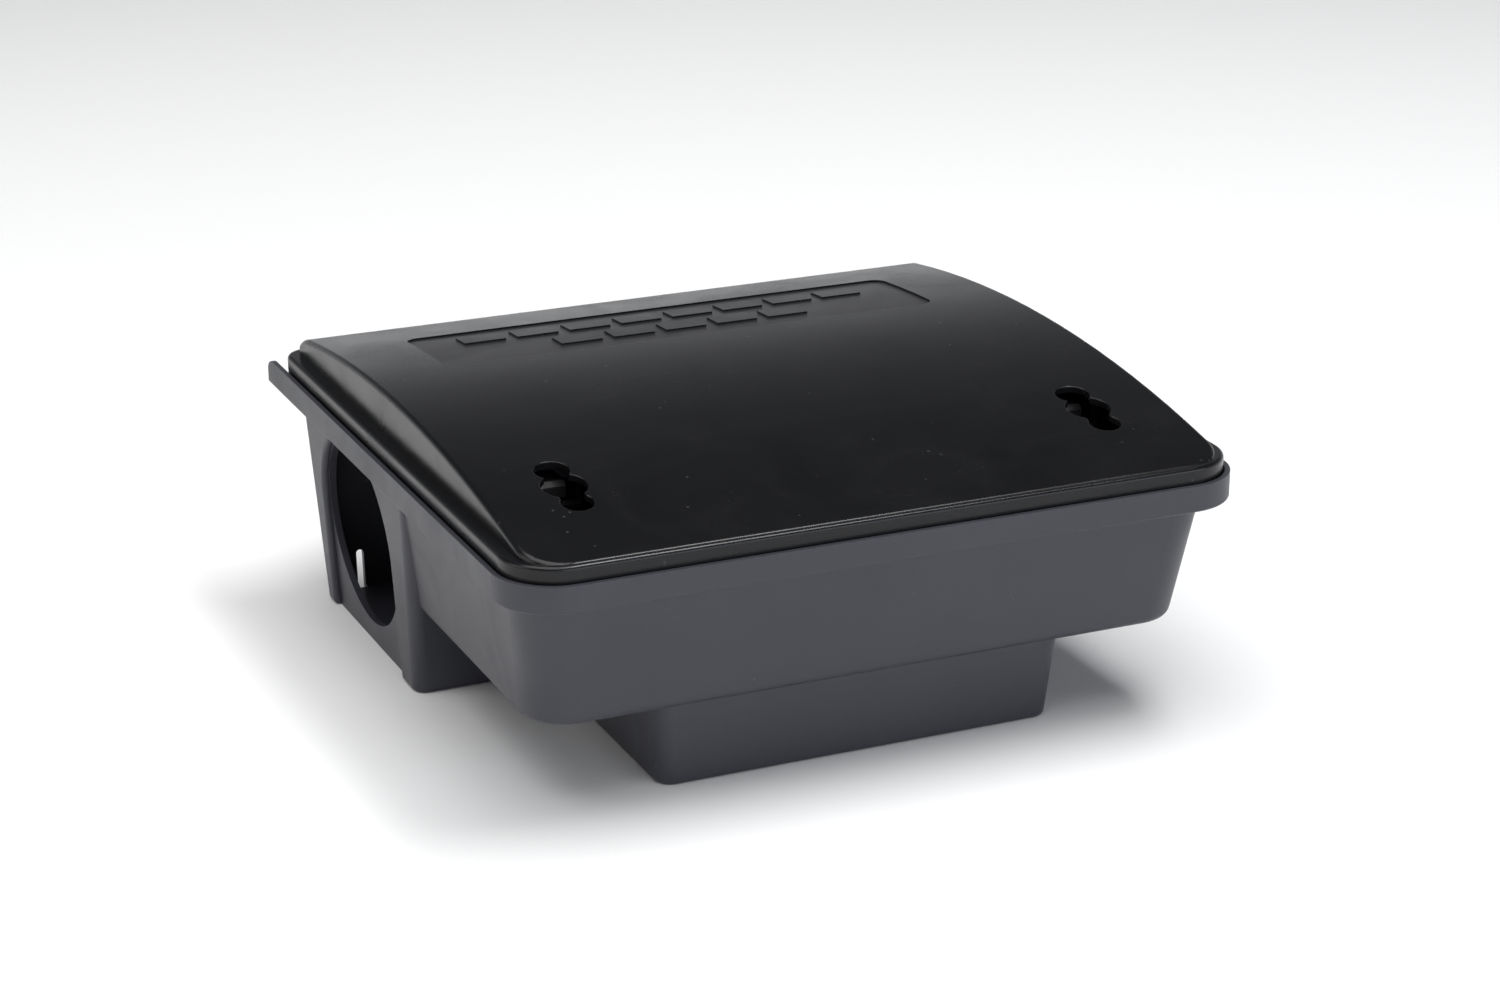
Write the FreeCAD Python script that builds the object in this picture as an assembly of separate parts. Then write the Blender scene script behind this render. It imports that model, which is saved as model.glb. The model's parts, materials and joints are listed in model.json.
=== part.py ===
import FreeCAD, Part
import math
import os

# Lockable rodent bait box. X runs along the length, Y from the front to the hinge side, Z up.
# The origin is on the floor, under the middle of the rim. All lengths are millimetres.

V = FreeCAD.Vector

# Rim of the base: a flat ledge with an upright lip on three sides
RIM_HALF = 117.5
LIP_THICKNESS = 1.6
LEDGE_Z = 70.0
LEDGE_TOP = 72.2
LIP_TOP = 78.4
RIM_FRONT_RADIUS = 19.0
REAR_LEDGE_Y = 107.0
EAR_INNER_X = 112.5
LIP_END_RADIUS = 6.0
RIM_REAR_RADIUS = 1.0
LEDGE_EDGE_RADIUS = 0.8

# Walls of the base
WALL = 2.2
CAVITY_TOP = 80.0

# How far a cutting body runs past the face it cuts
OVERRUN = 5.0

# Three tapered bodies: (z, half length, front y, rear y) at the bottom and at the top
TRAY = dict(low=(28.6, 105.9, -100.7, 12.0), high=(70.0, 111.3, -108.0, 12.0), front_r=14.0, rear_r=6.0)
TUNNEL = dict(low=(0.0, 107.4, 2.4, 96.2), high=(70.0, 111.7, -3.7, 102.3), front_r=4.0, rear_r=6.0)
WELL = dict(low=(0.0, 64.7, -91.8, 20.0), high=(28.6, 67.2, -94.3, 20.0), front_r=5.5, rear_r=5.5)
TRAY_EDGE_RADIUS = 3.4
WELL_FLARE_RADIUS = 2.4
WELL_EDGE_RADIUS = 1.8
TUNNEL_EDGE_RADIUS = 1.8
TRAY_FLOOR = TRAY["low"][0] + WALL

# Entrance in each end wall: an oval hole in a recessed arch that is open to the floor
ENTRANCE_Y = 51.0
ENTRANCE_Z = 38.0
ENTRANCE_HALF_WIDTH = 33.3
ENTRANCE_HALF_HEIGHT = 30.8
RECESS_DEPTH = 2.2
RECESS_HALF_WIDTH = 34.1
RECESS_HALF_HEIGHT = 31.5
RECESS_EDGE_RADIUS = 1.6
END_WALL_TILT = math.degrees(math.atan((TUNNEL["high"][1] - TUNNEL["low"][1]) / TUNNEL["high"][0]))

# Narrow tie slots that run down the rear wall and through its bottom edge
TIE_SLOT_X = 95.2
TIE_SLOT_WIDTH = 2.6
TIE_SLOT_TOP = 14.4
TIE_SLOT_FRONT_Y = 91.8

# Hinge
HINGE_Y = 112.0
HINGE_Z = 76.0
KNUCKLE_RADIUS = 4.4
PIN_RADIUS = 2.0
LUG_HOLE_RADIUS = 2.02
KNUCKLE_HOLE_RADIUS = 2.06
LUGS = ((59.0, 64.6), (75.4, 81.0))
KNUCKLE = (65.0, 75.0)
PIN_SPAN = (58.5, 81.5)
GUSSET_FRONT = ((107.7, 75.0), (107.7, 72.2), (100.6, 72.2))
GUSSET = ((100.6, 59.0), (101.6, 59.0), (116.1, 74.4), (112.0, 76.0)) + GUSSET_FRONT
OPEN_STOP = ((112.0, 76.0), (116.4, 76.0), (116.5, 79.7), (113.0, 80.2))

# Side compartments: bait rod, lock tongue
SIDE_X = 85.5
ROD_Y = -30.0
ROD_RADIUS = 1.95
ROD_HOLE_RADIUS = 2.0
ROD_FOOT_Z = 32.0
ROD_TOP_Z = 70.0
ROD_BEND_RADIUS = 4.0
ROD_HANDLE = 7.0
BOSS_RADIUS = 5.5
BOSS_TOP = 38.0
TONGUE_WIDTH = 12.0
TONGUE_FRONT_Y = -50.0
TONGUE_REAR_Y = -47.6
TONGUE_FOOT_Z = 31.2
TONGUE_ROOT = (-48.8, 34.0)
TONGUE_ROOT_RADIUS = 1.4
TONGUE_NOSE = ((-50.0, 81.9), (-58.5, 81.9), (-58.5, 85.4), (-57.3, 86.9))
SOCKET_HALF_X = 9.0
SOCKET_Y = (-53.5, -44.0)
SOCKET_SLOT_HALF_X = 6.3
SOCKET_SLOT_Y = (-50.3, -46.9)

# Baffle between the bait compartments and the tunnel
BAFFLE_Y = (-8.0, -6.0)
BAFFLE_TOP = 68.0
BAFFLE_GAP = 0.4
BAFFLE_RIBS = ((-10.4, -8.4), (-5.6, -3.6))
BAFFLE_RIB_X = 101.5
BAFFLE_RIB_TOP = 66.0
GATEWAY_HALF_WIDTH = 30.0
GATEWAY_TOP = 54.0

# Lift-out tray in the well
BAIT_TRAY = dict(low=(2.5, 60.0, -87.0, -12.0), high=(26.0, 61.8, -89.0, -10.4), front_r=5.0, rear_r=5.0)
BAIT_TRAY_WALL = 1.6
BAIT_TRAY_GATE_HALF = 28.0
BAIT_TRAY_GATE_Z = 12.0
BAIT_DIVIDERS_X = (-20.0, 20.0)
BAIT_DIVIDER_TOP = 16.0
TAB_HALF_Y = 8.0
TAB_HEIGHT = 7.0
TAB_CORNER_RADIUS = 4.0
TAB_Y = -50.0

# Lid
LID_WALL = 2.0
LID_FOOT = 72.6
LID_TOP_OF_BORDER = 83.4
LID_HALF = 115.4
LID_FRONT = -115.4
LID_REAR = 107.0
LID_FRONT_RADIUS = 17.0
LID_REAR_RADIUS = 8.0
LID_EDGE_RADIUS = 1.2
CROWN_HALF = 111.3
CROWN_FRONT = -114.0
CROWN_REAR = 105.5
CROWN_FRONT_RADIUS = 13.0
CROWN_REAR_RADIUS = 6.5
CROWN_EDGE_RADIUS = 1.6
CROWN_PEAK = (8.0, 97.0)
CROWN_SHOULDER_Y = 92.0
CROWN_REAR_ARC = 20.0
CROWN_FOOT = 74.0
PROFILE_OVERRUN = 1.2

# Key slots in the lid
KEY_Y = -72.7
KEY_HOLE_RADIUS = 7.0
KEY_REAR_LOBE = (9.9, 5.4)
KEY_FRONT_LOBE = (-10.4, 4.9)
KEY_SLOT_HALF_WIDTH = 3.9
KEY_EDGE_RADIUS = 0.3

# Catch bars under the lid, one in front of each tongue
CATCH_PLATES = (8.5, 10.5)
CATCH_BAR_Y = (-63.9, -59.9)
CATCH_BAR_Z = (78.9, 81.4)

# Shallow panel near the back of the lid, with two rows of plain raised bars
PANEL_HALF = 85.0
PANEL_Y = (29.0, 71.0)
PANEL_DEPTH = 0.6
PANEL_CORNER = 4.5
BAR_LENGTH = 14.0
BAR_WIDTH = 9.0
BAR_GAP = 4.0
BAR_ROWS = ((59.0, 8), (43.0, 5))

# Stiffening ribs under the lid
LID_RIBS_Y = (-20.0, 15.0, 88.0)
LID_RIB_HALF = 74.0
LID_RIB_THICKNESS = 1.6
LID_RIB_BOTTOM = 84.0


def outline(half_x, front, rear, front_r, rear_r, z):
    """Rounded rectangle at height z, symmetric about x = 0."""
    corners = (
        (half_x - front_r, front + front_r, front_r, -90),
        (half_x - rear_r, rear - rear_r, rear_r, 0),
        (-half_x + rear_r, rear - rear_r, rear_r, 90),
        (-half_x + front_r, front + front_r, front_r, 180),
    )
    arcs = []
    for cx, cy, radius, start in corners:
        points = []
        for step in (0, 45, 90):
            angle = math.radians(start + step)
            points.append(V(cx + radius * math.cos(angle), cy + radius * math.sin(angle), z))
        arcs.append(points)
    edges = []
    for index, points in enumerate(arcs):
        edges.append(Part.Arc(*points).toShape())
        edges.append(Part.makeLine(points[2], arcs[(index + 1) % 4][0]))
    return Part.Wire(edges)


def section(body, z, inset=0.0):
    """Outline of a tapered body at height z, moved inward by inset."""
    low, high = body["low"], body["high"]
    t = (z - low[0]) / (high[0] - low[0])
    half_x, front, rear = (a + t * (b - a) for a, b in zip(low[1:], high[1:]))
    return outline(
        half_x - inset, front + inset, rear - inset,
        body["front_r"] - inset, body["rear_r"] - inset, z,
    )


def tapered(body, z0, z1, inset=0.0):
    return Part.makeLoft([section(body, z0, inset), section(body, z1, inset)], True, True)


def prism(wire, height):
    return Part.Face(wire).extrude(V(0, 0, height))


def box(x0, x1, y0, y1, z0, z1):
    return Part.makeBox(x1 - x0, y1 - y0, z1 - z0, V(x0, y0, z0))


def polygon(points):
    return Part.Face(Part.makePolygon(points + [points[0]]))


def side_plate(yz_points, x0, x1):
    return polygon([V(x0, y, z) for y, z in yz_points]).extrude(V(x1 - x0, 0, 0))


def rod_x(radius, x0, x1, y, z):
    return Part.makeCylinder(radius, x1 - x0, V(x0, y, z), V(1, 0, 0))


def mirrored(shape):
    return shape.mirror(V(0, 0, 0), V(1, 0, 0))


def both_sides(shape):
    return [shape, mirrored(shape)]


def level_edges(shape, z):
    found = []
    for edge in shape.Edges:
        bounds = edge.BoundBox
        if abs(bounds.ZMin - z) < 0.01 and abs(bounds.ZMax - z) < 0.01:
            found.append(edge)
    return found


def arch(half_width, half_height, foot_z):
    """Flat arch in the plane x = 0: half an ellipse on straight legs."""
    major, minor = max(half_width, half_height), min(half_width, half_height)
    turn = V(0, 1, 0) if half_width >= half_height else V(0, 0, 1)
    centre = V(0, ENTRANCE_Y, ENTRANCE_Z)
    across = V(0, 0, 1) if half_width >= half_height else V(0, -1, 0)
    curve = Part.Ellipse(centre + turn * major, centre + across * minor, centre)
    oval = Part.Face(Part.Wire([curve.toShape()]))
    legs = polygon([
        V(0, ENTRANCE_Y - half_width, foot_z),
        V(0, ENTRANCE_Y + half_width, foot_z),
        V(0, ENTRANCE_Y + half_width, ENTRANCE_Z),
        V(0, ENTRANCE_Y - half_width, ENTRANCE_Z),
    ])
    return oval, legs


def arch_block(half_width, half_height, foot_z, x0, x1):
    """Arch extruded from x0 to x1 and leaned with the end wall."""
    oval, legs = arch(half_width, half_height, foot_z)
    block = oval.extrude(V(x1 - x0, 0, 0)).fuse(legs.extrude(V(x1 - x0, 0, 0))).removeSplitter()
    block.translate(V(x0, 0, 0))
    block.rotate(V(TUNNEL["low"][1], 0, 0), V(0, 1, 0), END_WALL_TILT)
    return block


def entrance_block(x0, x1):
    oval, _ = arch(ENTRANCE_HALF_WIDTH, ENTRANCE_HALF_HEIGHT, 0.0)
    block = oval.extrude(V(x1 - x0, 0, 0))
    block.translate(V(x0, 0, 0))
    return block


def tunnel_outside():
    """Tunnel body with a recessed, soft-edged arch in each end wall."""
    floor_half, top_half = TUNNEL["low"][1], TUNNEL["high"][1]
    tunnel = tapered(TUNNEL, 0.0, LEDGE_Z)
    tunnel = tunnel.makeFillet(TUNNEL_EDGE_RADIUS, level_edges(tunnel, 0.0))
    recess = arch_block(RECESS_HALF_WIDTH, RECESS_HALF_HEIGHT, -OVERRUN,
                        floor_half - RECESS_DEPTH, floor_half + OVERRUN)
    tunnel = tunnel.cut(both_sides(recess))
    rims = []
    for edge in tunnel.Edges:
        middle = edge.valueAt((edge.FirstParameter + edge.LastParameter) / 2)
        wall_x = floor_half + (top_half - floor_half) * middle.z / LEDGE_Z
        across = abs(middle.y - ENTRANCE_Y) < RECESS_HALF_WIDTH + 1
        if across and edge.BoundBox.ZLength > 5 and abs(abs(middle.x) - wall_x) < 0.05:
            rims.append(edge)
    return tunnel.makeFillet(RECESS_EDGE_RADIUS, rims)


def base_outside():
    tray = tapered(TRAY, TRAY["low"][0], LEDGE_Z)
    tray = tray.makeFillet(TRAY_EDGE_RADIUS, level_edges(tray, TRAY["low"][0]))
    well = tapered(WELL, 0.0, TRAY_FLOOR)
    well = well.makeFillet(WELL_EDGE_RADIUS, level_edges(well, 0.0))
    front = tray.fuse(well)
    seam = []
    for edge in level_edges(front, TRAY["low"][0]):
        if abs(edge.BoundBox.XMax) < WELL["high"][1] + 1 and edge.BoundBox.YMin > WELL["high"][2] - 1:
            if edge.BoundBox.XMin > -WELL["high"][1] - 1:
                seam.append(edge)
    front = front.makeFillet(WELL_FLARE_RADIUS, seam)
    return front.fuse(tunnel_outside())


def base_cavity():
    tray = tapered(TRAY, TRAY_FLOOR, CAVITY_TOP, WALL)
    well = tapered(WELL, WALL, TRAY_FLOOR + 1.0, WALL)
    tunnel = tapered(TUNNEL, WALL, CAVITY_TOP, WALL)
    cavity = tray.fuse([well, tunnel])
    pad = arch_block(RECESS_HALF_WIDTH + WALL, RECESS_HALF_HEIGHT + WALL, -OVERRUN,
                     TUNNEL["low"][1] - RECESS_DEPTH - WALL, TUNNEL["low"][1] + 1.0)
    return cavity.cut(both_sides(pad))


def rim():
    """Flat ledge with an upright lip on three sides, open behind the hinge and rounded at its two ends."""
    half, inner = RIM_HALF, RIM_HALF - LIP_THICKNESS
    beyond, above = RIM_HALF + OVERRUN, LIP_TOP + OVERRUN
    lip_foot = LEDGE_TOP - 1.0
    ledge = prism(outline(half, -half, half, RIM_FRONT_RADIUS, RIM_REAR_RADIUS, LEDGE_Z), LEDGE_TOP - LEDGE_Z)
    ledge = ledge.makeFillet(LEDGE_EDGE_RADIUS, level_edges(ledge, LEDGE_Z))
    lip = prism(outline(half, -half, half, RIM_FRONT_RADIUS, RIM_REAR_RADIUS, lip_foot), LIP_TOP - lip_foot)
    inside = outline(inner, -inner, beyond, RIM_FRONT_RADIUS - LIP_THICKNESS, RIM_REAR_RADIUS, lip_foot - 1.0)
    lip = lip.cut(prism(inside, above - lip_foot))
    whole = ledge.fuse(lip)
    whole = whole.cut(box(-EAR_INNER_X, EAR_INNER_X, REAR_LEDGE_Y, beyond, LEDGE_Z - OVERRUN, above))
    top_y, top_z = RIM_HALF - LIP_END_RADIUS, LIP_TOP - LIP_END_RADIUS
    corner = box(-beyond, beyond, top_y, beyond, top_z, above)
    corner = corner.cut(rod_x(LIP_END_RADIUS, -beyond - 1, beyond + 1, top_y, top_z))
    return whole.cut(corner)


def hinge_lug(x0, x1):
    """Bored eye behind the rear wall, carried by a gusset, with a nose that stops the open lid."""
    eye = rod_x(KNUCKLE_RADIUS, x0, x1, HINGE_Y, HINGE_Z)
    plates = [side_plate(GUSSET, x0, x1), side_plate(OPEN_STOP, x0, x1)]
    return eye.fuse(plates).cut(rod_x(LUG_HOLE_RADIUS, x0 - 1, x1 + 1, HINGE_Y, HINGE_Z))


def rod_boss(x):
    boss = Part.makeCylinder(BOSS_RADIUS, BOSS_TOP - TRAY_FLOOR + 1, V(x, ROD_Y, TRAY_FLOOR - 1))
    return boss.cut(Part.makeCylinder(ROD_HOLE_RADIUS, BOSS_TOP, V(x, ROD_Y, ROD_FOOT_Z)))


def tongue_socket(x):
    block = box(x - SOCKET_HALF_X, x + SOCKET_HALF_X, *SOCKET_Y, TRAY_FLOOR - 1, BOSS_TOP)
    slot = box(x - SOCKET_SLOT_HALF_X, x + SOCKET_SLOT_HALF_X, *SOCKET_SLOT_Y, TRAY_FLOOR, BOSS_TOP + 1)
    return block.cut(slot)


def baffle_ribs():
    outside = tapered(TRAY, TRAY_FLOOR - 1, BAFFLE_RIB_TOP, WALL / 2)
    ribs = []
    for y0, y1 in BAFFLE_RIBS:
        for bar in both_sides(box(BAFFLE_RIB_X, RIM_HALF, y0, y1, TRAY_FLOOR - 1, BAFFLE_RIB_TOP)):
            ribs.append(bar.common(outside))
    return ribs


def tie_slot():
    half = TIE_SLOT_WIDTH / 2
    front, rear = TIE_SLOT_FRONT_Y, TUNNEL["high"][3]
    shoulder = TIE_SLOT_TOP - half
    slot = box(TIE_SLOT_X - half, TIE_SLOT_X + half, front, rear, -1, shoulder)
    head = Part.makeCylinder(half, rear - front, V(TIE_SLOT_X, front, shoulder), V(0, 1, 0))
    return slot.fuse(head)


def base_shell():
    shell = base_outside().fuse(rim())
    shell = shell.cut(base_cavity())
    shell = shell.cut(both_sides(entrance_block(TUNNEL["low"][1] - 2 * OVERRUN, RIM_HALF)))
    shell = shell.cut(both_sides(tie_slot()))
    added = baffle_ribs()
    for x in (-SIDE_X, SIDE_X):
        added.append(rod_boss(x))
        added.append(tongue_socket(x))
    for x0, x1 in LUGS:
        added.extend(both_sides(hinge_lug(x0, x1)))
    return shell.fuse(added)


def crest_slope(y):
    arc_drop = (CROWN_PEAK[1] - LID_TOP_OF_BORDER) / (CROWN_FRONT - CROWN_PEAK[0]) ** 2
    return 2 * arc_drop * (y - CROWN_PEAK[0])


def crest_height(y):
    """Height of the crown's long arc, which meets the border at the front."""
    return CROWN_PEAK[1] - crest_slope(y) * (y - CROWN_PEAK[0]) / 2


def crown_profile(inset, drop):
    """Side profile of the crown: a long shallow arc, then a tight one down to the back."""
    front, rear = CROWN_FRONT + inset - PROFILE_OVERRUN, CROWN_REAR - inset + PROFILE_OVERRUN

    def crest(y):
        return crest_height(y) - drop

    slope = math.atan(crest_slope(CROWN_SHOULDER_Y))
    shoulder = V(0, CROWN_SHOULDER_Y, crest(CROWN_SHOULDER_Y))
    radius = CROWN_REAR_ARC - drop
    centre = shoulder - V(0, math.sin(slope), math.cos(slope)) * radius
    end_angle = math.acos((rear - centre.y) / radius)
    mid_angle = (end_angle + math.pi / 2 - slope) / 2

    def on_rear_arc(angle):
        return centre + V(0, math.cos(angle), math.sin(angle)) * radius

    start = V(0, front, crest(front))
    end = on_rear_arc(end_angle)
    middle_y = (front + CROWN_SHOULDER_Y) / 2
    edges = [
        Part.makeLine(V(0, front, CROWN_FOOT), start),
        Part.Arc(start, V(0, middle_y, crest(middle_y)), shoulder).toShape(),
        Part.Arc(shoulder, on_rear_arc(mid_angle), end).toShape(),
        Part.makeLine(end, V(0, rear, CROWN_FOOT)),
        Part.makeLine(V(0, rear, CROWN_FOOT), V(0, front, CROWN_FOOT)),
    ]
    return Part.Face(Part.Wire(edges))


def crown(inset, drop):
    half = CROWN_HALF - inset
    side = crown_profile(inset, drop).extrude(V(2 * half, 0, 0))
    side.translate(V(-half, 0, 0))
    plan = outline(half, CROWN_FRONT + inset, CROWN_REAR - inset,
                   CROWN_FRONT_RADIUS - inset, CROWN_REAR_RADIUS - inset, CROWN_FOOT)
    return side.common(prism(plan, 40.0))


def crest_edges(block):
    """Edges along the two long ends and round the front of the crown."""
    found = []
    for edge in block.Edges:
        bounds = edge.BoundBox
        if bounds.ZMin > CROWN_FOOT + 6 and (bounds.XLength > 1 or bounds.YLength > 1):
            if bounds.YMax < CROWN_SHOULDER_Y + 0.1 or bounds.XLength < 1:
                if not (bounds.YLength < 0.01 and bounds.YMin > 0):
                    found.append(edge)
    return found


def rounded_crown():
    block = crown(0.0, 0.0)
    return block.makeFillet(CROWN_EDGE_RADIUS, crest_edges(block))


def lid_outside():
    border = prism(
        outline(LID_HALF, LID_FRONT, LID_REAR, LID_FRONT_RADIUS, LID_REAR_RADIUS, LID_FOOT),
        LID_TOP_OF_BORDER - LID_FOOT,
    )
    border = border.makeFillet(LID_EDGE_RADIUS, level_edges(border, LID_TOP_OF_BORDER))
    return border.fuse(rounded_crown())


def lid_inside():
    border = prism(
        outline(LID_HALF - LID_WALL, LID_FRONT + LID_WALL, LID_REAR - LID_WALL,
                LID_FRONT_RADIUS - LID_WALL, LID_REAR_RADIUS - LID_WALL, LID_FOOT - 1),
        LID_TOP_OF_BORDER - LID_WALL - LID_FOOT + 1,
    )
    return border.fuse(crown(LID_WALL, LID_WALL))


def key_slot(x):
    """Three bored lobes in a row, joined by a straight slot."""
    foot = LID_FOOT + 8
    bores = []
    for offset, radius in ((0.0, KEY_HOLE_RADIUS), KEY_REAR_LOBE, KEY_FRONT_LOBE):
        bores.append(Part.makeCylinder(radius, 40, V(x, KEY_Y + offset, foot)))
    slot = box(x - KEY_SLOT_HALF_WIDTH, x + KEY_SLOT_HALF_WIDTH,
               KEY_Y + KEY_FRONT_LOBE[0], KEY_Y + KEY_REAR_LOBE[0], foot, foot + 40)
    return slot.fuse(bores).removeSplitter()


def key_rims(shell):
    """Edges where the key slots break through the crown's outer face."""
    reach = KEY_HOLE_RADIUS + 1
    found = []
    for edge in shell.Edges:
        middle = edge.valueAt((edge.FirstParameter + edge.LastParameter) / 2)
        near_slot = abs(abs(middle.x) - SIDE_X) < reach and abs(middle.y - KEY_Y) < 2 * reach
        if near_slot and abs(middle.z - crest_height(middle.y)) < 0.05:
            found.append(edge)
    return found


def panel_bars(layer_bottom, height):
    bars = []
    for y, count in BAR_ROWS:
        length = count * BAR_LENGTH + (count - 1) * BAR_GAP
        for index in range(count):
            x = -length / 2 + index * (BAR_LENGTH + BAR_GAP)
            bars.append(box(x, x + BAR_LENGTH, y - BAR_WIDTH / 2, y + BAR_WIDTH / 2,
                            layer_bottom, layer_bottom + height))
    return bars


def panel_sink():
    """The thin layer that is removed from the crown to leave the panel and its bars."""
    layer = crown(0.0, 0.0).cut(crown(0.0, PANEL_DEPTH))
    field = prism(outline(PANEL_HALF, *PANEL_Y, PANEL_CORNER, PANEL_CORNER, CROWN_FOOT), 40.0)
    return layer.common(field).cut(panel_bars(CROWN_FOOT, 40.0))


def lid_knuckle():
    eye = rod_x(KNUCKLE_RADIUS, *KNUCKLE, HINGE_Y, HINGE_Z)
    web = box(*KNUCKLE, LID_REAR - LID_WALL - 0.5, HINGE_Y, HINGE_Z - 3.0, HINGE_Z + KNUCKLE_RADIUS)
    return eye.fuse(web).cut(rod_x(KNUCKLE_HOLE_RADIUS, KNUCKLE[0] - 1, KNUCKLE[1] + 1, HINGE_Y, HINGE_Z))


def catch_stirrup(x):
    body = crown(LID_WALL / 2, LID_WALL / 2)
    near, far = CATCH_PLATES
    top = CROWN_PEAK[1]
    plates = [
        box(x - far, x - near, *CATCH_BAR_Y, CATCH_BAR_Z[0], top),
        box(x + near, x + far, *CATCH_BAR_Y, CATCH_BAR_Z[0], top),
    ]
    stirrup = plates[0].fuse([plates[1], box(x - far, x + far, *CATCH_BAR_Y, *CATCH_BAR_Z)])
    return stirrup.common(body)


def lid_ribs():
    body = crown(LID_WALL / 2, LID_WALL / 2)
    ribs = []
    for y in LID_RIBS_Y:
        half = LID_RIB_THICKNESS / 2
        rib = box(-LID_RIB_HALF, LID_RIB_HALF, y - half, y + half, LID_RIB_BOTTOM, CROWN_PEAK[1])
        ribs.append(rib.common(body))
    return ribs


def lid_shell():
    shell = lid_outside().cut(lid_inside())
    shell = shell.cut(panel_sink())
    shell = shell.cut([key_slot(-SIDE_X), key_slot(SIDE_X)])
    shell = shell.makeFillet(KEY_EDGE_RADIUS, key_rims(shell))
    added = both_sides(lid_knuckle()) + lid_ribs()
    added += [catch_stirrup(-SIDE_X), catch_stirrup(SIDE_X)]
    return shell.fuse(added)


def hinge_pin():
    return rod_x(PIN_RADIUS, *PIN_SPAN, HINGE_Y, HINGE_Z)


def lock_tongue():
    """Flat blade with a hooked nose at the top and a round bead at the root, where it bends."""
    x0, x1 = SIDE_X - TONGUE_WIDTH / 2, SIDE_X + TONGUE_WIDTH / 2
    blade = (
        (TONGUE_REAR_Y, TONGUE_NOSE[-1][1]),
        (TONGUE_REAR_Y, TONGUE_FOOT_Z),
        (TONGUE_FRONT_Y, TONGUE_FOOT_Z),
    )
    root = rod_x(TONGUE_ROOT_RADIUS, x0, x1, *TONGUE_ROOT)
    return side_plate(TONGUE_NOSE + blade, x0, x1).fuse(root)


def bait_rod():
    """Straight wire with a right-angle bend and a short handle that points to the front."""
    bend = ROD_BEND_RADIUS
    top = ROD_TOP_Z
    start = V(SIDE_X, ROD_Y, ROD_FOOT_Z)
    turn = V(SIDE_X, ROD_Y - bend * (1 - math.cos(math.pi / 4)), top + bend * math.sin(math.pi / 4))
    corner_end = V(SIDE_X, ROD_Y - bend, top + bend)
    path = Part.Wire([
        Part.makeLine(start, V(SIDE_X, ROD_Y, top)),
        Part.Arc(V(SIDE_X, ROD_Y, top), turn, corner_end).toShape(),
        Part.makeLine(corner_end, corner_end - V(0, ROD_HANDLE, 0)),
    ])
    ring = Part.Wire([Part.makeCircle(ROD_RADIUS, start, V(0, 0, 1))])
    return path.makePipeShell([ring], True, True)


def baffle_plate():
    gap = WALL + BAFFLE_GAP
    tray = tapered(TRAY, TRAY_FLOOR + BAFFLE_GAP, BAFFLE_TOP, gap)
    well = tapered(WELL, WALL + BAFFLE_GAP, TRAY_FLOOR + 2, gap)
    slab = box(-RIM_HALF, RIM_HALF, *BAFFLE_Y, 0, BAFFLE_TOP)
    plate = tray.fuse(well).common(slab)
    half = GATEWAY_HALF_WIDTH
    depth = BAFFLE_Y[1] - BAFFLE_Y[0] + 2
    legs = box(-half, half, BAFFLE_Y[0] - 1, BAFFLE_Y[1] + 1, -1, GATEWAY_TOP - half)
    head = Part.makeCylinder(half, depth, V(0, BAFFLE_Y[0] - 1, GATEWAY_TOP - half), V(0, 1, 0))
    return plate.cut([legs, head])


def bait_tray():
    z0, z1 = BAIT_TRAY["low"][0], BAIT_TRAY["high"][0]
    wall = BAIT_TRAY_WALL
    inside = tapered(BAIT_TRAY, z0 + wall, z1 + 1, wall)
    tray = tapered(BAIT_TRAY, z0, z1).cut(inside)
    rear = BAIT_TRAY["high"][3]
    gate = BAIT_TRAY_GATE_HALF
    tray = tray.cut(box(-gate, gate, rear - OVERRUN, rear + OVERRUN, BAIT_TRAY_GATE_Z, z1 + 1))
    filled = tapered(BAIT_TRAY, z0, z1, wall / 2)
    added = []
    for x in BAIT_DIVIDERS_X:
        divider = box(x - wall / 2, x + wall / 2, BAIT_TRAY["high"][2], rear, z0 + wall / 2, BAIT_DIVIDER_TOP)
        added.append(divider.common(filled))
    half_x = BAIT_TRAY["high"][1]
    tab = box(half_x - wall, half_x, TAB_Y - TAB_HALF_Y, TAB_Y + TAB_HALF_Y, z1 - 0.5, z1 + TAB_HEIGHT)
    tops = [e for e in level_edges(tab, z1 + TAB_HEIGHT) if e.BoundBox.YLength < 0.1]
    added.extend(both_sides(tab.makeFillet(TAB_CORNER_RADIUS, tops)))
    return tray.fuse(added)


def save(name, shape):
    shape.exportStep(os.path.join("parts", name + ".step"))


def main():
    os.makedirs("parts", exist_ok=True)
    save("base_shell", base_shell())
    save("lid_shell", lid_shell())
    save("bait_tray", bait_tray())
    save("baffle_plate", baffle_plate())
    for name, shape in (("hinge_pin", hinge_pin()), ("lock_tongue", lock_tongue()), ("bait_rod", bait_rod())):
        save(name + "_right", shape)
        save(name + "_left", mirrored(shape))


main()
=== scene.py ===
import json
import math

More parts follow.
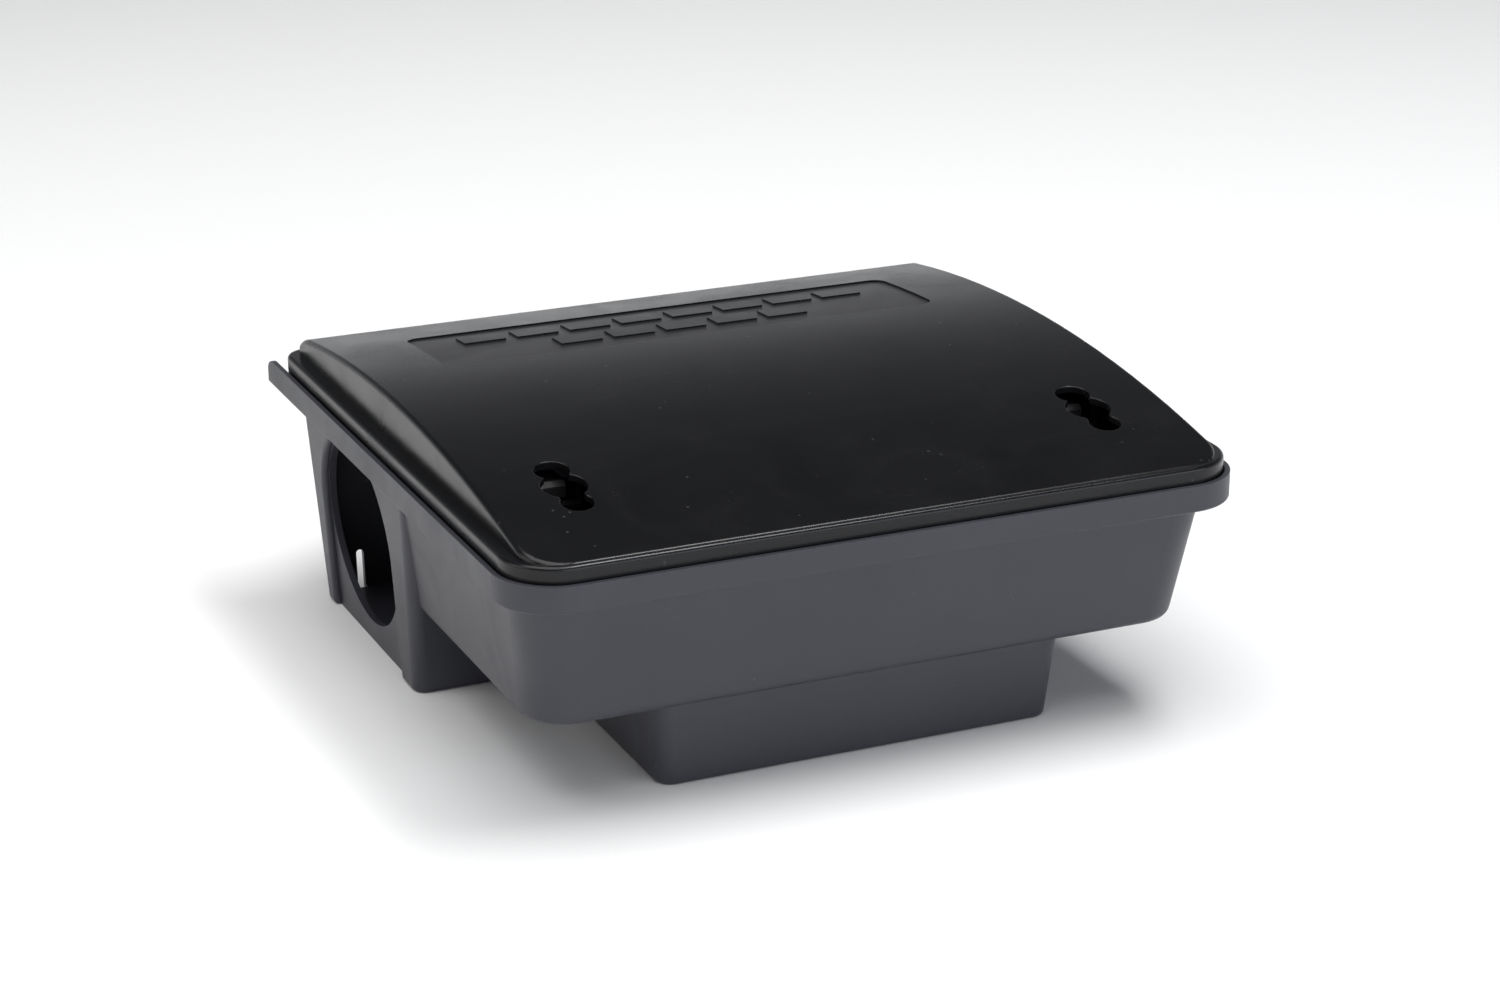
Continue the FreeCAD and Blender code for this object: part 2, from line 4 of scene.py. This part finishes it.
import bpy
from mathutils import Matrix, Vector


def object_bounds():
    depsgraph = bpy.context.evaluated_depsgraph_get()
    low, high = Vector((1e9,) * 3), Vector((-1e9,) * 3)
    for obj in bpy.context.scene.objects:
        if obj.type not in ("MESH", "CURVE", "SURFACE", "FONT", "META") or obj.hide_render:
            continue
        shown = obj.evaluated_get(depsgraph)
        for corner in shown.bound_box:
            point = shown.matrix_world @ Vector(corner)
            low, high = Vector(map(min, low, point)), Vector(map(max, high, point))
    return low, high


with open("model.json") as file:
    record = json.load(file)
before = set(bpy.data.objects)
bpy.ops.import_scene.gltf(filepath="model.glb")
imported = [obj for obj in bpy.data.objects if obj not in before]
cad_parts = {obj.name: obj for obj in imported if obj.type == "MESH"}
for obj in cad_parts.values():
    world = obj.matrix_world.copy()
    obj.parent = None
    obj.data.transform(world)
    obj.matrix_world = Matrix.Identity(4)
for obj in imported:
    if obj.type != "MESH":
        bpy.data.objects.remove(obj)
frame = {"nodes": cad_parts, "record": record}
cad_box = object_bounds()

# A closed, black plastic bait box on a pale floor. Metres, in the CAD frame: X along the box's length,
# Y from the front to the hinge, Z up.

# Camera, in metres, degrees and millimetres
CAMERA_AT = (-0.40897, -0.92505, 0.41888)
CAMERA_YAW = 24.12
CAMERA_PITCH = 20.06
CAMERA_LENS = 81.35
SENSOR = 36.0

# Floor
FLOOR_SIZE = 4.6
FLOOR_COLOUR = (0.90, 0.90, 0.90, 1.0)

# Sky colours by the height of the view direction: 0 is the horizon, 1 is straight up
SKY = [
    (0.0, (0.95, 0.96, 0.98)),
    (0.10, (0.72, 0.73, 0.75)),
    (0.32, (0.16, 0.163, 0.168)),
    (0.62, (0.045, 0.045, 0.047)),
]

# Area lights: place, target, width, height, power, colour
WHITE = (1.0, 1.0, 1.0)
LIGHTS = {
    "overhead": ((-0.3, -0.2, 1.9), (0.0, 0.0, 0.0), 2.0, 2.0, 36.0, WHITE),
    "key": ((0.55, -0.2, 1.85), (0.0, 0.0, 0.05), 1.1, 0.4, 16.0, WHITE),
    "left_softbox": ((-1.6, 0.1, 0.75), (0.0, 0.0, 0.05), 1.2, 1.0, 4.5, (1.0, 0.98, 0.94)),
    "front_fill": ((1.0, -2.4, 0.7), (0.0, 0.0, 0.02), 3.0, 1.3, 25.0, (0.85, 0.91, 1.0)),
}

# Plastic: noise scales of the marks (a bigger scale gives smaller marks), and bump depths in metres
CLOUD_SCALE = 14.0
STREAK_SCALE = 22.0
SPECK_SCALE = 260.0
SPECK_PATCH_SCALE = 75.0
SCRATCH_SCALE = 9.0
WORN_PATCH_SCALE = 21.0
SHEEN_SCALE = 34.0
ORANGE_PEEL_SCALE = 160.0
ORANGE_PEEL_DEPTH = 0.00012
GRAIN_SCALE = 2400.0
GRAIN_DEPTH = 0.00003
SCRATCH_STRETCH = (5.0, 90.0, 40.0)
SCRATCH_TURN = (0.3, 0.2, 0.62)
STREAK_STRETCH = (1.0, 6.0, 6.0)

# Plastic: how the marks change the colour and the roughness
STREAK_LIFT = 1.5
SCRATCH_LIFT = 2.4
SCRATCH_WHITE = 0.02
DUST_COLOUR = (0.34, 0.34, 0.33)
DUST_MATT = 0.4
SCRATCH_MATT = 0.25

# Matt panel near the back of the lid: middle y, half length, half width, corner radius
PANEL = (0.050, 0.085, 0.021, 0.0045)
PANEL_MATT = 0.12
PANEL_TONE = (0.015, 0.0152, 0.0162)

# Steel wire
SPANGLE_SCALE = 420.0
STAIN_SCALE = 90.0
STAIN_DARKEN = 0.45
DRAWN_LINE_SCALE = 1500.0
DRAWN_LINE_STRETCH = (1.0, 1.0, 0.06)
DRAWN_LINE_STRENGTH = 0.25


def node_tree(name):
    mat = bpy.data.materials.new(name)
    mat.use_nodes = True
    tree = mat.node_tree
    return mat, tree, tree.nodes["Principled BSDF"]


def add(tree, kind, **inputs):
    node = tree.nodes.new(kind)
    for key, value in inputs.items():
        node.inputs[key.replace("_", " ")].default_value = value
    return node


def noise(tree, coords, scale, detail=3.0, roughness=0.5, distortion=0.0):
    settings = {"Scale": scale, "Detail": detail, "Roughness": roughness, "Distortion": distortion}
    node = add(tree, "ShaderNodeTexNoise", **settings)
    tree.links.new(coords, node.inputs["Vector"])
    return node.outputs["Fac"]


def ramp(tree, value, stops):
    node = tree.nodes.new("ShaderNodeValToRGB")
    elements = node.color_ramp.elements
    while len(elements) < len(stops):
        elements.new(0.5)
    for element, (position, colour) in zip(elements, stops):
        element.position = position
        element.color = (*colour, 1.0) if isinstance(colour, tuple) else (colour, colour, colour, 1.0)
    tree.links.new(value, node.inputs["Fac"])
    return node.outputs["Color"]


def mix(tree, factor, a, b, blend="MIX"):
    node = tree.nodes.new("ShaderNodeMix")
    node.data_type = "RGBA"
    node.blend_type = blend
    for socket, value in ((node.inputs["Factor"], factor), (node.inputs["A"], a), (node.inputs["B"], b)):
        set_or_link(tree, socket, value)
    return node.outputs["Result"]


def set_or_link(tree, socket, value):
    if isinstance(value, bpy.types.NodeSocket):
        tree.links.new(value, socket)
    elif isinstance(value, tuple):
        socket.default_value = (*value, 1.0)
    else:
        socket.default_value = value


def maths(tree, operation, a, b=0.0):
    node = tree.nodes.new("ShaderNodeMath")
    node.operation = operation
    set_or_link(tree, node.inputs[0], a)
    set_or_link(tree, node.inputs[1], b)
    return node.outputs["Value"]


def object_coords(tree, stretch=(1.0, 1.0, 1.0)):
    coords = tree.nodes.new("ShaderNodeTexCoord").outputs["Object"]
    if stretch == (1.0, 1.0, 1.0):
        return coords
    node = tree.nodes.new("ShaderNodeMapping")
    node.inputs["Scale"].default_value = stretch
    tree.links.new(coords, node.inputs["Vector"])
    return node.outputs["Vector"]


def bump(tree, height, strength, distance, previous=None):
    node = add(tree, "ShaderNodeBump", Strength=strength, Distance=distance)
    tree.links.new(height, node.inputs["Height"])
    if previous is not None:
        tree.links.new(previous, node.inputs["Normal"])
    return node.outputs["Normal"]


def panel_mask(tree, coords, centre_y, half_x, half_y, corner):
    """1 on the upper side, inside a rounded rectangle seen from above; 0 elsewhere."""
    split = tree.nodes.new("ShaderNodeSeparateXYZ")
    tree.links.new(coords, split.inputs["Vector"])
    across = maths(tree, "ABSOLUTE", split.outputs["X"])
    along = maths(tree, "ABSOLUTE", maths(tree, "SUBTRACT", split.outputs["Y"], centre_y))
    dx = maths(tree, "MAXIMUM", maths(tree, "SUBTRACT", across, half_x - corner), 0.0)
    dy = maths(tree, "MAXIMUM", maths(tree, "SUBTRACT", along, half_y - corner), 0.0)
    squares = maths(tree, "ADD", maths(tree, "POWER", dx, 2.0), maths(tree, "POWER", dy, 2.0))
    gap = maths(tree, "SQRT", squares)
    facing = tree.nodes.new("ShaderNodeSeparateXYZ")
    tree.links.new(tree.nodes.new("ShaderNodeTexCoord").outputs["Normal"], facing.inputs["Vector"])
    upper = maths(tree, "GREATER_THAN", facing.outputs["Z"], 0.0)
    return maths(tree, "MULTIPLY", maths(tree, "LESS_THAN", gap, corner), upper)


def flow_tone(tree, coords, colour, flow):
    """Colour that drifts a little in clouds, and in lighter streaks along the length."""
    cloud = noise(tree, coords, CLOUD_SCALE, detail=4.0, roughness=0.55, distortion=0.6)
    long_coords = object_coords(tree, STREAK_STRETCH)
    streak = noise(tree, long_coords, STREAK_SCALE, detail=5.0, roughness=0.6, distortion=0.4)
    dark = tuple(c * (1.0 - flow) for c in colour)
    light = tuple(c * (1.0 + flow) for c in colour)
    lifted = tuple(c * STREAK_LIFT for c in colour)
    tone = mix(tree, ramp(tree, cloud, [(0.3, 0.0), (0.7, 1.0)]), dark, light)
    return mix(tree, ramp(tree, streak, [(0.45, 0.0), (0.75, flow)]), tone, lifted)


def dust_specks(tree, coords, amount):
    """Small round specks, gathered in patches."""
    cells = add(tree, "ShaderNodeTexVoronoi", Scale=SPECK_SCALE, Randomness=1.0)
    tree.links.new(coords, cells.inputs["Vector"])
    patch = ramp(tree, noise(tree, coords, SPECK_PATCH_SCALE, detail=2.0), [(0.60, 0.0), (0.64, 1.0)])
    speck = ramp(tree, cells.outputs["Distance"], [(0.07, 1.0), (0.14, 0.0)])
    return maths(tree, "MULTIPLY", maths(tree, "MULTIPLY", speck, patch), amount)


def hair_scratches(tree, coords, amount):
    """Fine slanting scratches, gathered where the surface is rubbed."""
    turned = tree.nodes.new("ShaderNodeMapping")
    turned.inputs["Scale"].default_value = SCRATCH_STRETCH
    turned.inputs["Rotation"].default_value = SCRATCH_TURN
    tree.links.new(coords, turned.inputs["Vector"])
    line = noise(tree, turned.outputs["Vector"], SCRATCH_SCALE, detail=2.0, roughness=0.4, distortion=0.9)
    hair = ramp(tree, line, [(0.655, 0.0), (0.672, 1.0), (0.69, 0.0)])
    worn = ramp(tree, noise(tree, coords, WORN_PATCH_SCALE, detail=2.0), [(0.5, 0.0), (0.66, 1.0)])
    return maths(tree, "MULTIPLY", maths(tree, "MULTIPLY", hair, worn), amount)


def moulded_plastic(name, colour, rough, grain, flow, dust, scratches, specular=0.5, panel=None):
    """Injection-moulded plastic: fine grain, faint flow marks, dust specks and rubbed scratches."""
    mat, tree, shader = node_tree(name)
    coords = object_coords(tree)
    speck = dust_specks(tree, coords, dust)
    hair = hair_scratches(tree, coords, scratches)

    tone = mix(tree, speck, flow_tone(tree, coords, colour, flow), DUST_COLOUR)
    tone = mix(tree, hair, tone, tuple(min(1.0, c * SCRATCH_LIFT + SCRATCH_WHITE) for c in colour))
    sheen = noise(tree, coords, SHEEN_SCALE, detail=4.0, roughness=0.6, distortion=0.8)
    gloss = ramp(tree, sheen, [(0.25, rough - 0.05), (0.75, rough + 0.07)])
    gloss = maths(tree, "ADD", gloss, maths(tree, "MULTIPLY", speck, DUST_MATT))
    gloss = maths(tree, "ADD", gloss, maths(tree, "MULTIPLY", hair, SCRATCH_MATT))
    if panel is not None:
        inside = panel_mask(tree, coords, *panel)
        tone = mix(tree, inside, tone, PANEL_TONE)
        gloss = maths(tree, "ADD", gloss, maths(tree, "MULTIPLY", inside, PANEL_MATT))
    tree.links.new(tone, shader.inputs["Base Color"])
    tree.links.new(gloss, shader.inputs["Roughness"])
    shader.inputs["Specular IOR Level"].default_value = specular

    peel = noise(tree, coords, ORANGE_PEEL_SCALE, detail=2.0, roughness=0.4)
    fine = noise(tree, coords, GRAIN_SCALE, detail=2.0, roughness=0.5)
    normal = bump(tree, peel, grain * 0.5, ORANGE_PEEL_DEPTH)
    normal = bump(tree, fine, grain, GRAIN_DEPTH, normal)
    tree.links.new(normal, shader.inputs["Normal"])
    return mat


def drawn_steel(name, colour, rough, spangle):
    """Drawn wire: fine lines along Z, patches of zinc spangle and darker stains."""
    mat, tree, shader = node_tree(name)
    coords = object_coords(tree)
    cells = add(tree, "ShaderNodeTexVoronoi", Scale=SPANGLE_SCALE, Randomness=1.0)
    tree.links.new(coords, cells.inputs["Vector"])
    patch = ramp(tree, cells.outputs["Color"], [(0.0, 1.0 - spangle), (1.0, 1.0)])
    base = mix(tree, 1.0, colour, patch, "MULTIPLY")
    cloud = noise(tree, coords, STAIN_SCALE, detail=4.0, roughness=0.6)
    stain = ramp(tree, cloud, [(0.52, 0.0), (0.72, 0.6)])
    base = mix(tree, stain, base, tuple(c * STAIN_DARKEN for c in colour))
    tree.links.new(base, shader.inputs["Base Color"])
    line = noise(tree, object_coords(tree, DRAWN_LINE_STRETCH), DRAWN_LINE_SCALE, detail=2.0)
    gloss = ramp(tree, line, [(0.3, rough - 0.1), (0.7, rough + 0.1)])
    tree.links.new(gloss, shader.inputs["Roughness"])
    tree.links.new(bump(tree, line, DRAWN_LINE_STRENGTH, GRAIN_DEPTH), shader.inputs["Normal"])
    shader.inputs["Metallic"].default_value = 1.0
    return mat


MATERIALS = {
    "base_plastic": moulded_plastic(
        "base_plastic", (0.031, 0.0317, 0.041), rough=0.44, grain=0.35, flow=0.08, dust=0.12, scratches=0.12),
    "lid_plastic": moulded_plastic(
        "lid_plastic", (0.0055, 0.0057, 0.0065), rough=0.23, grain=0.10, flow=0.08, dust=0.10, scratches=0.12,
        specular=0.33, panel=PANEL),
    "tongue_plastic": moulded_plastic(
        "tongue_plastic", (0.020, 0.020, 0.022), rough=0.34, grain=0.3, flow=0.10, dust=0.3, scratches=0.4),
    "tray_plastic": moulded_plastic(
        "tray_plastic", (0.085, 0.088, 0.092), rough=0.42, grain=0.35, flow=0.12, dust=0.5, scratches=0.5),
    "baffle_plastic": moulded_plastic(
        "baffle_plastic", (0.030, 0.031, 0.034), rough=0.42, grain=0.35, flow=0.10, dust=0.4, scratches=0.4),
    "pin_steel": drawn_steel("pin_steel", (0.55, 0.55, 0.56), rough=0.32, spangle=0.08),
    "rod_steel": drawn_steel("rod_steel", (0.50, 0.51, 0.52), rough=0.40, spangle=0.35),
}

SLOT_OF = {entry["node"]: entry["material_slot"] for entry in frame["record"]["subparts"]}
for node_name, obj in frame["nodes"].items():
    for slot in obj.material_slots:
        slot.material = MATERIALS[SLOT_OF[node_name]]


def floor():
    bpy.ops.mesh.primitive_plane_add(size=FLOOR_SIZE, location=(0.0, 0.0, cad_box[0][2]))
    plane = bpy.context.object
    plane.name = "floor"
    mat, _, shader = node_tree("floor_paper")
    shader.inputs["Base Color"].default_value = FLOOR_COLOUR
    shader.inputs["Roughness"].default_value = 0.9
    shader.inputs["Specular IOR Level"].default_value = 0.1
    plane.data.materials.append(mat)


def area_light(name, at, target, width, height, power, colour):
    data = bpy.data.lights.new(name, "AREA")
    data.shape = "RECTANGLE"
    data.size = width
    data.size_y = height
    data.energy = power
    data.color = colour
    lamp = bpy.data.objects.new(name, data)
    lamp.location = at
    lamp.rotation_euler = (Vector(target) - Vector(at)).to_track_quat("-Z", "Y").to_euler()
    bpy.context.collection.objects.link(lamp)


def lights():
    """A pale sky that is brightest near the horizon, and the area lights."""
    world = bpy.data.worlds.new("studio")
    world.use_nodes = True
    tree = world.node_tree
    back = tree.nodes["Background"]
    split = tree.nodes.new("ShaderNodeSeparateXYZ")
    tree.links.new(tree.nodes.new("ShaderNodeTexCoord").outputs["Generated"], split.inputs["Vector"])
    tree.links.new(ramp(tree, split.outputs["Z"], SKY), back.inputs["Color"])
    back.inputs["Strength"].default_value = 1.0
    bpy.context.scene.world = world
    for name, settings in LIGHTS.items():
        area_light(name, *settings)


def camera():
    data = bpy.data.cameras.new("camera")
    data.sensor_width = SENSOR
    data.lens = CAMERA_LENS
    cam = bpy.data.objects.new("camera", data)
    cam.location = CAMERA_AT
    cam.rotation_euler = (math.radians(90.0 - CAMERA_PITCH), 0.0, math.radians(-CAMERA_YAW))
    bpy.context.collection.objects.link(cam)
    bpy.context.scene.camera = cam


bpy.context.scene.view_settings.view_transform = "Standard"
floor()
lights()
camera()
